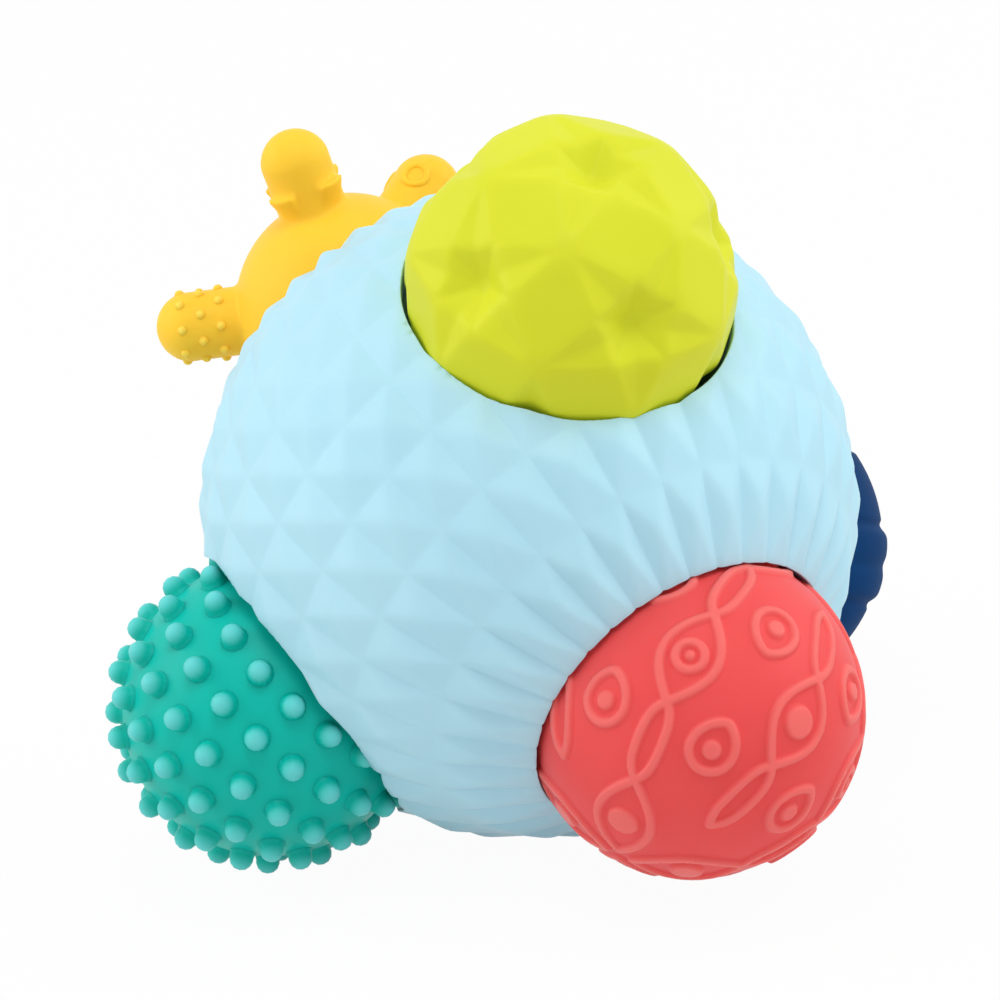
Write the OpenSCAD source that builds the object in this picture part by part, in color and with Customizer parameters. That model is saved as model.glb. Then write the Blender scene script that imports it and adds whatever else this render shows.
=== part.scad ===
// Sensory ball in soft vinyl: a hollow big ball covered in raised diamonds, with five round
// pockets that each hold a small textured ball. Each hollow ball is closed by a small plug.
// The floor is at z = 0, and the origin lies below the big ball's centre.

/* [Big ball] */
// Radius over the tips of the raised diamonds
ball_r = 75; // [70:0.5:95]
// Depth of the valleys between the diamonds
valley_depth = 1.5; // [0.8:0.1:2.5]
// Thickness of the skin below the valleys
skin_wall = 3; // [2.2:0.1:4]
// Columns of diamonds around the ball, an odd number
diamond_column_count = 33; // [27:6:45]
// Rows of diamonds between the rims of the two end pockets, an even number
diamond_row_count = 8; // [8:2:10]

/* [Pockets] */
// Depth of a pocket's cup centre below the tips of the diamonds
cup_sink = 5.1; // [3:0.1:7]
// Room between a small ball and the wall of its pocket
cup_gap = 0.8; // [0.6:0.1:2]
// Gap left under a small ball at the floor of its pocket
seat_gap = 0.3; // [0.2:0.05:0.6]
// Thickness of a pocket's wall
cup_wall = 2.5; // [2:0.1:4]
// How much shallower the teal ball's pocket is than the others
teal_rise = 4.2; // [0:0.1:5]

/* [Small balls] */
// Radius over the texture of a small ball
toy_r = 37.5; // [34:0.5:40]
// Thickness of a small ball's skin
toy_wall = 2.2; // [1.8:0.1:4]

/* [Red ball] */
// Height of the raised lines
relief_h = 0.9; // [0.5:0.1:1.5]
// Width of the raised lines
line_w = 1.9; // [1.4:0.1:2.4]
// Half the width of a large eye, between its lines' centres
large_eye_w = 6.3; // [5.5:0.1:7]
// Half the width of a small eye, between its lines' centres
small_eye_w = 2.7; // [2.2:0.1:3.5]
// Radius of the disc in a large eye
disc_r = 3.6; // [2.5:0.1:4]
// Radius of the ring in a large eye, to its line's centre
eye_ring_r = 3.2; // [2.6:0.1:3.5]
// Radius of the dot inside that ring
ring_dot_r = 1.1; // [0.8:0.1:1.3]
// Radius of a loose loop's round end, to its line's centre
loop_r = 4.9; // [4:0.1:5.5]
// Radius of the dot in a loose loop
dot_r = 2.1; // [1:0.1:2.4]

/* [Lime ball] */
// Depth of a star-shaped dent's middle below the corners
dent_depth = 6.5; // [5:0.1:7.5]
// Depth of the inner corners between a star's points
notch_depth = 2.6; // [1.5:0.1:3.5]

/* [Teal ball] */
// Radius of a nub
nub_r = 2.7; // [2:0.1:3.2]
// Height of a nub above the ball
nub_h = 4.2; // [3.5:0.1:5]
// Nubs in a row next to the ball's middle
nub_count = 20; // [16:1:22]

/* [Yellow ball] */
// Radius of the body
yellow_r = 26.4; // [24:0.1:28]
// Height of the body's centre beyond the centre of its pocket's cup
yellow_rise = 6; // [4.5:0.1:7]
// How far the body lies aside from its pocket's axis
yellow_aside = 2.2; // [0:0.1:2.4]
// Radius of a knob
knob_r = 8.2; // [7:0.1:9]
// Reach of an outer knob from the centre of the body
knob_reach = 45; // [40:0.5:47]
// Radius of a dot on the dotted knob
knob_dot_r = 1.2; // [0.8:0.1:1.5]
// Distance between the rows of dots
dot_step = 4.5; // [3.5:0.1:5]
// Thickness of the rings, ribs and leaves on the knobs
knob_trim = 1.6; // [1:0.1:2]
// Radius of a ring on the ringed knob, to its line's centre
knob_ring_r = 2.8; // [2:0.1:3.2]

/* [Navy ball] */
// Radius of the round grooves between the ribs
groove_r = 2.2; // [1.8:0.1:3]
// Depth of the grooves between the ribs
groove_depth = 1.6; // [1:0.1:1.7]
// Depth of the shallow crease along the middle rib
crease_depth = 0.6; // [0.3:0.1:0.9]

/* [Plugs] */
// Radius of a plug's head
head_r = 5.5; // [4.5:0.1:6.5]
// Thickness of a plug's head
head_t = 1; // [0.7:0.1:1.2]
// Radius of a plug's stem
stem_r = 3.2; // [2.5:0.1:3.6]
// How far the lip behind the wall stands out from the stem
lip_out = 0.9; // [0.5:0.1:1.2]
// Thickness of the lip
lip_t = 1.4; // [0.8:0.1:2]
// Clearance between a plug and its hole
plug_fit = 0.1; // [0.05:0.05:0.2]

/* [Hidden] */
$fn = 72;
// Smoothness of the large round hollows
hollow_fn = 240;

// Pockets, each as its lean from the red end and its place around the ball, in degrees
red_end = [0, 0];
lime_side = [90, 0];
teal_side = [90, 120];
navy_side = [90, 240];
yellow_end = [180, 0];
pockets = [red_end, lime_side, teal_side, navy_side, yellow_end];

// Cups and seats
cup_r = toy_r + cup_gap;
cup_reach = ball_r - cup_sink;
cup_floor = cup_reach - cup_r;
seat_reach = cup_floor + seat_gap + toy_r;

// The grid of diamonds, in equal steps of height from rim to rim
valley_r = ball_r - valley_depth;
rim_z = (ball_r * ball_r + cup_reach * cup_reach - cup_r * cup_r) / (2 * cup_reach);
row_h = 2 * rim_z / diamond_row_count;
column_turn = 360 / diamond_column_count;
cavity_r = valley_r - skin_wall;

// A place on a ball of radius r, at a height z and a turn around the ball's axis
function at_height(r, z, turn) =
    let (ring = sqrt(r * r - z * z))
    [ring * cos(turn), ring * sin(turn), z];
function row_z(row) = row * row_h - rim_z;
function tip_z(row) = (row_z(row) + row_z(row + 1)) / 2;

// The ball stands on four tips, around the second valley from the middle on the red side
rest_row = diamond_row_count / 2 + 1;
rest_low = at_height(ball_r, tip_z(rest_row), column_turn / 2);
rest_high = at_height(ball_r, tip_z(rest_row + 1), column_turn / 2);
rest_lean = atan2(rest_low.x - rest_high.x, rest_high.z - rest_low.z);
tips_reach = rest_low.x * cos(rest_lean) + rest_low.z * sin(rest_lean);
red_drop = seat_reach * sin(rest_lean) + toy_r;
side_drop = (seat_reach + teal_rise) * cos(rest_lean) * cos(navy_side.y - 180) + toy_r;
centre_h = max(tips_reach, red_drop, side_drop);
// Turn about the vertical that brings the photographed side to the front
front_turn = 119.6;

module standing() {
    translate([0, 0, centre_h])
        rotate([0, 0, front_turn])
            rotate([0, -90 - rest_lean, 0])
                children();
}

// Puts +Z along a pocket's axis, with +X towards the red end, or towards lime on the two ends
module in_pocket(pocket) {
    rotate([0, pocket.x, pocket.y])
        rotate([0, 0, pocket.x > 0 ? 180 : 0])
            children();
}

module seated(pocket, reach = seat_reach) {
    standing()
        in_pocket(pocket)
            translate([0, 0, reach])
                children();
}

// Tilts a small ball's own axis away from its pocket's axis
module leaning(lean, way) {
    rotate([0, lean, way])
        children();
}

// Puts +Z outwards at a place on a ball, with +Y towards the ball's upper end
module facing(height_angle, turn) {
    rotate([0, 90 - height_angle, turn])
        rotate([0, 0, 90])
            children();
}

// Plugs: the outer face is at z = 0, and the wall's inner face lies below it
function lip_gap(hollow_r) =
    let (lip_r = stem_r + lip_out)
    hollow_r - sqrt(hollow_r * hollow_r - lip_r * lip_r) + plug_fit;

module plug(wall, gap) {
    lip_top = -wall - gap;
    rotate_extrude()
        polygon([
            [0, 0],
            [head_r, 0],
            [head_r, -head_t],
            [stem_r, -head_t],
            [stem_r, lip_top],
            [stem_r + lip_out, lip_top],
            [stem_r, lip_top - lip_t],
            [0, lip_top - lip_t]
        ]);
}

module plug_hole(wall) {
    translate([0, 0, -head_t])
        cylinder(h = head_t + 2 * wall, r = head_r + plug_fit);
    translate([0, 0, -2 * wall])
        cylinder(h = 3 * wall, r = stem_r + plug_fit);
}

// Where a small ball's plug face lies below its skin's outer pole
function flush_drop(r) = r - sqrt(r * r - head_r * head_r);

// Points outwards at the inner side of a small ball of radius r, flush with its skin
module at_plug(r) {
    rotate([180, 0, 0])
        translate([0, 0, r - flush_drop(r)])
            children();
}

module ball_plug(r, hollow_r) {
    at_plug(r)
        plug(r - flush_drop(r) - hollow_r, lip_gap(hollow_r));
}

module ball_plug_hole(r, hollow_r) {
    at_plug(r)
        plug_hole(r - flush_drop(r) - hollow_r);
}

// Big ball
module diamond_ball() {
    valleys = [
        for (row = [0 : diamond_row_count], column = [0 : diamond_column_count - 1])
            at_height(valley_r, row_z(row), (column + 0.5) * column_turn)
    ];
    tips = [
        for (row = [0 : diamond_row_count - 1], column = [0 : diamond_column_count - 1])
            at_height(ball_r, tip_z(row), (column + 1) * column_turn)
    ];
    first_tip = len(valleys);
    facets = [
        for (row = [0 : diamond_row_count - 1], column = [0 : diamond_column_count - 1])
            let (
                next = (column + 1) % diamond_column_count,
                low = row * diamond_column_count,
                high = low + diamond_column_count,
                tip = first_tip + low + column,
                corners = [low + column, low + next, high + next, high + column]
            )
            for (side = [0 : 3])
                [corners[(side + 1) % 4], corners[side], tip]
    ];
    red_cap = [for (column = [1 : diamond_column_count]) first_tip - column];
    yellow_cap = [for (column = [0 : diamond_column_count - 1]) column];
    polyhedron(points = concat(valleys, tips), faces = concat(facets, [red_cap, yellow_cap]));
}

module cups(r) {
    for (pocket = pockets)
        in_pocket(pocket)
            translate([0, 0, cup_reach + (pocket == teal_side ? teal_rise : 0)])
                sphere(r, $fn = hollow_fn);
}

// The big ball's plug lies on the floor of the yellow ball's pocket
module at_big_plug() {
    in_pocket(yellow_end)
        translate([0, 0, cup_floor - plug_fit])
            children();
}

module big_ball_skin() {
    color("lightblue")
        standing()
            difference() {
                diamond_ball();
                difference() {
                    sphere(cavity_r, $fn = hollow_fn);
                    cups(cup_r + cup_wall);
                }
                cups(cup_r);
                at_big_plug()
                    plug_hole(cup_wall);
            }
}

module big_ball_plug() {
    color("lightblue")
        standing()
            at_big_plug()
                plug(cup_wall, plug_fit);
}

// Red ball: chains of almond eyes run from end to end, with loose loops between the chains
red_r = toy_r - relief_h;
red_hollow_r = red_r - toy_wall;
red_lean_angle = 62.9;
red_lean_turn = 121.2;
chain_count = 8;
chain_turn = 360 / chain_count;
chain_start_turn = 252.3;
// Half the lengths of the eyes
large_eye_angle = 17.5;
small_eye_angle = 14.8;
end_eye_angle = 19;
// Heights of the eyes and loops from the ring of large eyes
small_height_angle = 32.2;
end_height_angle = 66.2;
loop_height_angle = 24.7;
// A loop's pointed end and its sides, as shares of its round end's radius
loop_tip_share = 1.36;
loop_side_share = 0.985;

module almond(half_length, half_width) {
    arc_r = (half_length * half_length + half_width * half_width) / (2 * half_width);
    intersection() {
        translate([arc_r - half_width, 0])
            circle(arc_r);
        translate([half_width - arc_r, 0])
            circle(arc_r);
    }
}

module eye(half_angle, half_width) {
    half_length = red_r * sin(half_angle);
    difference() {
        almond(half_length + line_w / 2, half_width + line_w / 2);
        almond(half_length - line_w, half_width - line_w / 2);
    }
}

module ringed_dot() {
    difference() {
        circle(eye_ring_r + line_w / 2);
        circle(eye_ring_r - line_w / 2);
    }
    circle(ring_dot_r);
}

module drop(r) {
    tip_angle = asin(loop_side_share / loop_tip_share);
    side = loop_side_share * r * [cos(tip_angle), sin(tip_angle)];
    circle(r);
    polygon([[0, 0], side, [0, loop_tip_share * r], [-side.x, side.y]]);
}

module loop() {
    difference() {
        drop(loop_r + line_w / 2);
        drop(loop_r - line_w / 2);
    }
    circle(dot_r);
}

// Raises a flat motif off the red ball, from below the skin up
module raised(height_angle, turn) {
    sunk = red_r * cos(end_eye_angle) - toy_wall;
    facing(height_angle, turn)
        translate([0, 0, sunk])
            linear_extrude(toy_r - sunk)
                children();
}

// Every second chain goes on to the ends, and holds rings in its middle eyes
module red_relief() {
    for (k = [0 : chain_count - 1]) {
        turn = chain_start_turn + k * chain_turn;
        whole = k % 2 == 0;
        raised(0, turn) {
            eye(large_eye_angle, large_eye_w);
            if (whole)
                ringed_dot();
            else
                circle(disc_r);
        }
        for (way = [-1, 1]) {
            raised(way * small_height_angle, turn)
                eye(small_eye_angle, small_eye_w);
            raised(way * loop_height_angle, turn + chain_turn / 2)
                rotate(way > 0 ? 180 : 0)
                    loop();
            if (whole)
                raised(way * end_height_angle, turn) {
                    eye(end_eye_angle, large_eye_w);
                    circle(disc_r);
                }
        }
    }
}

module red_ball_skin() {
    color("tomato")
        seated(red_end)
            difference() {
                union() {
                    sphere(red_r);
                    intersection() {
                        sphere(toy_r);
                        leaning(red_lean_angle, red_lean_turn)
                            red_relief();
                    }
                }
                sphere(red_hollow_r);
                ball_plug_hole(red_r, red_hollow_r);
            }
}

module red_ball_plug() {
    color("tomato")
        seated(red_end)
            ball_plug(red_r, red_hollow_r);
}

// Lime ball: an icosahedron's corners are its star-shaped dents, and its faces' centres its corners
dent_r = toy_r - dent_depth;
notch_r = toy_r - notch_depth;
lime_hollow_r = dent_r - toy_wall;
lime_turn = -9.5;
ring_angle = atan(0.5);
fifth_turn = 360 / 5;
// A star's points and inner corners, as angles from the middle of its dent
point_angle = 16.5;
notch_angle = 12.5;

function unit(v) = v / norm(v);
function way(height_angle, turn) =
    [cos(height_angle) * cos(turn), cos(height_angle) * sin(turn), sin(height_angle)];
dent_ways = concat(
    [way(90, 0)],
    [for (k = [0 : 4]) way(ring_angle, fifth_turn * k)],
    [for (k = [0 : 4]) way(-ring_angle, fifth_turn * (k + 0.5))],
    [way(-90, 0)]
);
// Neighbouring dents lie 63 degrees apart, and the next ones 117
function beside(i, j) = i != j && dent_ways[i] * dent_ways[j] > 0;
dent_sides = [
    for (i = [0 : 11], j = [0 : 11])
        if (beside(i, j))
            [i, j]
];
dent_trios = [
    for (side = dent_sides, k = [side.y + 1 : 1 : 11])
        if (side.x < side.y && beside(side.x, k) && beside(side.y, k))
            let (turn = cross(dent_ways[side.x], dent_ways[side.y]) * dent_ways[k])
            turn > 0 ? [side.x, k, side.y] : [side.x, side.y, k]
];
function side_index(i, j) = search([[i, j]], dent_sides)[0];
function corner_way(trio) = unit(dent_ways[trio.x] + dent_ways[trio.y] + dent_ways[trio.z]);
// The way that lies at an angle from one way, on the side of another
function towards(from, to, angle) =
    cos(angle) * from + sin(angle) * unit(to - (from * to) * from);

// Between two dents, the stars' points and the two corners share one flat face
half_side_angle = (90 - ring_angle) / 2;
flat_way = towards(dent_ways[0], dent_ways[1], half_side_angle);
flat_reach = toy_r * (corner_way(dent_trios[0]) * flat_way);
point_r = flat_reach / cos(half_side_angle - point_angle);

// The five corners around the inner dent come down to the pocket's floor gap
corner_down = toy_r * corner_way(dent_trios[0]).z;
corner_side = sqrt(toy_r * toy_r - corner_down * corner_down);
lime_reach = cup_reach + corner_down - sqrt(pow(cup_r - seat_gap, 2) - pow(corner_side, 2));

module dented_ball() {
    first_point = len(dent_ways);
    first_notch = first_point + len(dent_sides);
    first_corner = first_notch + 3 * len(dent_trios);
    points = concat(
        dent_r * dent_ways,
        [for (side = dent_sides)
            point_r * towards(dent_ways[side.x], dent_ways[side.y], point_angle)],
        [for (trio = dent_trios, dent = trio)
            notch_r * towards(dent_ways[dent], corner_way(trio), notch_angle)],
        [for (trio = dent_trios) toy_r * corner_way(trio)]
    );
    facets = [
        for (face = [0 : len(dent_trios) - 1], side = [0 : 2])
            let (
                next = (side + 1) % 3,
                from = dent_trios[face][side],
                to = dent_trios[face][next],
                near = first_point + side_index(from, to),
                far = first_point + side_index(to, from),
                near_notch = first_notch + 3 * face + side,
                far_notch = first_notch + 3 * face + next,
                corner = first_corner + face
            )
            each [
                [from, near, near_notch],
                [near_notch, near, corner],
                [near, far, corner],
                [far, far_notch, corner],
                [far, to, far_notch]
            ]
    ];
    polyhedron(points = points, faces = facets);
}

module lime_ball_skin() {
    color("yellowgreen")
        seated(lime_side, lime_reach)
            rotate([0, 0, lime_turn])
                difference() {
                    dented_ball();
                    sphere(lime_hollow_r);
                    ball_plug_hole(dent_r, lime_hollow_r);
                }
}

module lime_ball_plug() {
    color("yellowgreen")
        seated(lime_side, lime_reach)
            rotate([0, 0, lime_turn])
                ball_plug(dent_r, lime_hollow_r);
}

// Teal ball: rows of nubs around an axis that leans in the pocket
teal_r = toy_r - nub_h;
teal_hollow_r = teal_r - toy_wall;
teal_lean_angle = 22.7;
teal_lean_turn = 255.8;
row_turn = 18;
nub_row_count = 180 / row_turn;
nub_start_turn = 172.3;
// Each row's start, as a share of the step between its nubs
nub_start_shares = [0, 0.5, 0, 0, 0, 0.5, 0, 0.5, 0, 0.5];
nub_foot_share = 1.2;
nub_top_share = 0.96;

module nub() {
    foot_z = teal_r - toy_wall / 2;
    dome_z = toy_r - nub_r;
    translate([0, 0, foot_z])
        cylinder(h = dome_z - foot_z, r1 = nub_foot_share * nub_r, r2 = nub_top_share * nub_r);
    translate([0, 0, dome_z])
        sphere(nub_r);
}

// Nubs stay clear of the plug, which faces the pocket's floor
function leaning_height(height_angle, turn) =
    sin(height_angle) * cos(teal_lean_angle) - cos(height_angle) * cos(turn) * sin(teal_lean_angle);
plug_clear_height = -sqrt(1 - pow((head_r + 2 * nub_r) / toy_r, 2));

module nubs() {
    for (row = [0 : nub_row_count - 1]) {
        height_angle = (row + 0.5) * row_turn - 90;
        count = round(nub_count * cos(height_angle));
        for (k = [0 : count - 1]) {
            turn = nub_start_turn + (k + nub_start_shares[row]) * 360 / count;
            if (leaning_height(height_angle, turn) > plug_clear_height)
                facing(height_angle, turn)
                    nub();
        }
    }
}

module teal_ball_skin() {
    color("turquoise")
        seated(teal_side, seat_reach + teal_rise)
            difference() {
                union() {
                    sphere(teal_r);
                    leaning(teal_lean_angle, teal_lean_turn)
                        nubs();
                }
                sphere(teal_hollow_r);
                ball_plug_hole(teal_r, teal_hollow_r);
            }
}

module teal_ball_plug() {
    color("turquoise")
        seated(teal_side, seat_reach + teal_rise)
            ball_plug(teal_r, teal_hollow_r);
}

// Navy ball: wide ribs between round grooves, with a crease along the middle rib
navy_hollow_r = toy_r - groove_depth - toy_wall;
navy_plug_r = toy_r - crease_depth;
navy_lean_angle = 90;
navy_lean_turn = -123.3;
rib_turn = 30;

module ring_groove(height_angle, depth) {
    middle_r = toy_r + groove_r - depth;
    rotate_extrude()
        translate([middle_r * cos(height_angle), middle_r * sin(height_angle)])
            circle(groove_r);
}

module navy_ball_skin() {
    color("steelblue")
        seated(navy_side)
            difference() {
                sphere(toy_r);
                leaning(navy_lean_angle, navy_lean_turn) {
                    for (rib = [-2.5 : 1 : 2.5])
                        ring_groove(rib * rib_turn, groove_depth);
                    ring_groove(0, crease_depth);
                }
                sphere(navy_hollow_r);
                ball_plug_hole(navy_plug_r, navy_hollow_r);
            }
}

module navy_ball_plug() {
    color("steelblue")
        seated(navy_side)
            ball_plug(navy_plug_r, navy_hollow_r);
}

// Yellow ball: four outer knobs with their own textures, and four plain ones in the pocket
yellow_hollow_r = yellow_r - toy_wall;
aside_turn = 236.7;
dotted_angle = 64;
dotted_turn = -104;
leafy_angle = 57;
leafy_turn = -12;
ringed_angle = 61;
ringed_turn = 70;
ribbed_angle = 60;
ribbed_turn = 165;
inner_angle = 122;
inner_turn = -59;
inner_count = 4;
leaf_count = 4;
leaf_start_turn = 26;
ring_count = 4;
rib_count = 4;
dot_row_count = 3;
dot_count = 8;
// Side of a knob as a share of its round end's radius
knob_side_share = 0.98;

// The inner knobs reach for the pocket's wall, and the nearest one leaves the floor's gap
yellow_place = [yellow_aside * cos(aside_turn), yellow_aside * sin(aside_turn), yellow_rise];
function inner_way(k) = way(90 - inner_angle, inner_turn + k * 360 / inner_count);
inner_past = max([for (k = [0 : inner_count - 1]) yellow_place * inner_way(k)]);
inner_room = pow(cup_r - seat_gap - knob_r, 2) - yellow_place * yellow_place;
inner_knob_reach = knob_r - inner_past + sqrt(inner_room + inner_past * inner_past);

module yellow_seated() {
    seated(yellow_end, cup_reach)
        translate(yellow_place)
            children();
}

module knob(lean, turn, reach) {
    end_z = reach - knob_r;
    rotate([0, lean, turn]) {
        cylinder(h = end_z, r = knob_side_share * knob_r);
        translate([0, 0, end_z])
            sphere(knob_r);
        children();
    }
}

// Length of an outer knob's side, from the body to the start of its round end
side_low = yellow_r;
side_len = knob_reach - knob_r - side_low;

// The first row's height over the body, in steps between rows; the last one lies on the round end
first_dot_share = 0.73;

module knob_dots() {
    for (row = [0 : dot_row_count - 1], k = [0 : dot_count - 1]) {
        dot_rise = (row + first_dot_share) * dot_step;
        past_side = max(0, dot_rise - side_len);
        rotate([0, 0, (k + (row % 2) / 2) * 360 / dot_count])
            translate([sqrt(knob_r * knob_r - past_side * past_side), 0, side_low + dot_rise])
                sphere(knob_dot_r);
    }
}

// The leaves rise out of the knob's neck, and stand out at their narrow upper ends
leaf_top_share = 0.6;
leaf_foot_share = 0.6;
leaf_tip_share = 0.5;
leaf_root_share = 0.95;

module knob_leaves() {
    leaf_r = knob_r + knob_trim;
    leaf_low = side_low - knob_trim;
    leaf_step = PI * knob_r / leaf_count;
    foot_w = leaf_foot_share * leaf_step;
    tip_w = leaf_tip_share * leaf_step;
    leaf_top = side_low + leaf_top_share * side_len;
    intersection() {
        translate([0, 0, leaf_low])
            cylinder(h = leaf_top - leaf_low + knob_trim, r1 = leaf_root_share * knob_r, r2 = leaf_r);
        for (k = [0 : leaf_count - 1])
            rotate([90, 0, 90 + leaf_start_turn + k * 360 / leaf_count])
                linear_extrude(2 * leaf_r)
                    polygon([
                        [-foot_w, leaf_low - knob_trim],
                        [foot_w, leaf_low - knob_trim],
                        [tip_w, leaf_top],
                        [-tip_w, leaf_top]
                    ]);
    }
}

// Height of the rings on the knob's side
ring_place_share = 0.8;

module knob_rings() {
    ring_top = knob_r + knob_trim / 2;
    intersection() {
        translate([0, 0, side_low])
            cylinder(h = side_len + 2 * knob_trim, r = ring_top);
        for (k = [0 : ring_count - 1])
            rotate([90, 0, k * 360 / ring_count])
                translate([0, side_low + ring_place_share * side_len])
                    linear_extrude(knob_r + knob_trim)
                        difference() {
                            circle(knob_ring_r + knob_trim / 2);
                            circle(knob_ring_r - knob_trim / 2);
                        }
    }
}

module knob_ribs() {
    for (k = [0 : rib_count - 1])
        translate([0, 0, side_low + (k + 0.5) / rib_count * side_len])
            rotate_extrude()
                translate([knob_r, 0])
                    circle(knob_trim / 2);
}

module yellow_ball_skin() {
    color("gold")
        yellow_seated()
            difference() {
                union() {
                    sphere(yellow_r);
                    knob(dotted_angle, dotted_turn, knob_reach)
                        knob_dots();
                    knob(leafy_angle, leafy_turn, knob_reach)
                        knob_leaves();
                    knob(ringed_angle, ringed_turn, knob_reach)
                        knob_rings();
                    knob(ribbed_angle, ribbed_turn, knob_reach)
                        knob_ribs();
                    for (k = [0 : inner_count - 1])
                        knob(inner_angle, inner_turn + k * 360 / inner_count, inner_knob_reach);
                }
                sphere(yellow_hollow_r);
                ball_plug_hole(yellow_r, yellow_hollow_r);
            }
}

module yellow_ball_plug() {
    color("gold")
        yellow_seated()
            ball_plug(yellow_r, yellow_hollow_r);
}

big_ball_skin();
big_ball_plug();
red_ball_skin();
red_ball_plug();
lime_ball_skin();
lime_ball_plug();
teal_ball_skin();
teal_ball_plug();
navy_ball_skin();
navy_ball_plug();
yellow_ball_skin();
yellow_ball_plug();
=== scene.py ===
import math

import bmesh
import bpy
from mathutils import Matrix, Vector


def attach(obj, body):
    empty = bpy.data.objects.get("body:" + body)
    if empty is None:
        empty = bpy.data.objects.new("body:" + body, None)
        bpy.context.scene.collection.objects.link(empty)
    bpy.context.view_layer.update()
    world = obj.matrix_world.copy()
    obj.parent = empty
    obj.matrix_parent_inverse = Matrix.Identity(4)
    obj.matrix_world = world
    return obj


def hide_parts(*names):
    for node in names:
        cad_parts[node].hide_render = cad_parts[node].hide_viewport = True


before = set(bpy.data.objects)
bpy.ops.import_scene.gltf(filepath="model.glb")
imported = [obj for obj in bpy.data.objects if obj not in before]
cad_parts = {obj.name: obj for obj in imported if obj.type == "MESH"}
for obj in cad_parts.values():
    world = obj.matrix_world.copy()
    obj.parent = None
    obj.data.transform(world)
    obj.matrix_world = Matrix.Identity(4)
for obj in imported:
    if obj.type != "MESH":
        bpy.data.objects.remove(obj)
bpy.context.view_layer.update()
mm = 0.001
print("frame loaded:", len(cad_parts), "solids")

# Shared sizes: the big ball, its pockets and the small balls' common radius
ball = {
    "radius": 75 * mm,       # over the tips of the diamonds
    "valleyDepth": 1.5 * mm,
    "columns": 33,
    "rows": 8,               # between the red and yellow rims
    "cupSink": 5.1 * mm,
    "cupGap": 0.8 * mm,
    "seatGap": 0.3 * mm,
    "frontTurn": 119.6,      # degrees, brings the photographed side to the front
}
toyRadius = 37.5 * mm
plug = {  # low round buttons that close each ball's moulding hole
    "head": 5.5 * mm,
    "skirt": 0.6 * mm,       # from its edge down to its foot
    "rise": 0.2 * mm,
    "edge": 0.35 * mm,
    "bevel": (0.3, 0.7),     # a point on its round edge, as shares of the edge and the rise
    "rings": (0.7, 0.45),    # shares of the head's radius
    "dimple": 1.5 * mm,
    "dimpleStep": (0.7, 0.1 * mm),  # a share of the dimple's radius, and the depth there
    "dimpleDepth": 0.3 * mm,
    "sides": 48,
}
pockets = {  # lean from the red end and place around the ball in degrees, and how much shallower
    "red": (0, 0, 0),
    "lime": (90, 0, 0),
    "teal": (90, 120, 4.2 * mm),
    "navy": (90, 240, 0),
    "yellow": (180, 0, 0),
}

cupRadius = toyRadius + ball["cupGap"]
cupReach = ball["radius"] - ball["cupSink"]
seatReach = cupReach - cupRadius + ball["seatGap"] + toyRadius
valleyRadius = ball["radius"] - ball["valleyDepth"]
rimHeight = (ball["radius"] ** 2 + cupReach ** 2 - cupRadius ** 2) / (2 * cupReach)
rowHeight = 2 * rimHeight / ball["rows"]
columnTurn = 2 * math.pi / ball["columns"]


def atHeight(radius, z, turn):
    ring = math.sqrt(radius ** 2 - z ** 2)
    return Vector((ring * math.cos(turn), ring * math.sin(turn), z))


def rowZ(row):
    return row * rowHeight - rimHeight


def rot(axis, degrees):
    return Matrix.Rotation(math.radians(degrees), 4, axis)


# The ball rests on four tips around the second valley on its red side
restLow = atHeight(ball["radius"], rowZ(ball["rows"] / 2 + 1.5), columnTurn / 2)
restHigh = atHeight(ball["radius"], rowZ(ball["rows"] / 2 + 2.5), columnTurn / 2)
restLean = math.atan2(restLow.x - restHigh.x, restHigh.z - restLow.z)
centreHeight = restLow.x * math.cos(restLean) + restLow.z * math.sin(restLean)
centre = Vector((0, 0, centreHeight))
standing = (Matrix.Translation(centre) @ rot("Z", ball["frontTurn"])
            @ rot("Y", -90 - math.degrees(restLean)))


def pocketTurn(name):
    lean, place = pockets[name][:2]
    half = rot("Z", 180) if lean > 0 else Matrix.Identity(4)
    return rot("Z", place) @ rot("Y", lean) @ half


def seat(name, reach=seatReach):
    return standing @ pocketTurn(name) @ Matrix.Translation((0, 0, reach + pockets[name][2]))


def facing(heightAngle, turn):  # +Z outwards at a place on a ball, +Y towards its upper end
    return rot("Z", turn) @ rot("Y", 90 - heightAngle) @ rot("Z", 90)


# Meshes
mergeShare = 1e-5  # of a ball's radius, within which two points of its seams are one


def meshObject(name, verts, faces=(), edges=()):
    mesh = bpy.data.meshes.new(name)
    mesh.from_pydata([tuple(v) for v in verts], list(edges), list(faces))
    mesh.update()
    return showObject(name, mesh)


def showObject(name, mesh):
    obj = bpy.data.objects.new(name, mesh)
    bpy.context.scene.collection.objects.link(obj)
    return obj


def dropObject(obj):
    bpy.data.objects.remove(obj)


def coat(obj, material):
    obj.data.materials.append(material)
    obj.data.polygons.foreach_set("use_smooth", [True] * len(obj.data.polygons))


def lathe(name, profile, steps):
    # Turns (radius, z) points about Z; a point with no radius is a pole
    verts, rings, faces = [], [], []
    for radius, z in profile:
        count = steps if radius > 0 else 1
        rings.append(range(len(verts), len(verts) + count))
        for k in range(count):
            turn = 2 * math.pi * k / steps
            verts.append((radius * math.cos(turn), radius * math.sin(turn), z))
    for low, high in zip(rings, rings[1:]):
        for k in range(steps):
            a, b = low[k % len(low)], low[(k + 1) % len(low)]
            c, d = high[(k + 1) % len(high)], high[k % len(high)]
            face = [a, b, c, d]
            faces.append([v for i, v in enumerate(face) if v not in face[:i]])
    return meshObject(name, verts, faces)


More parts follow.
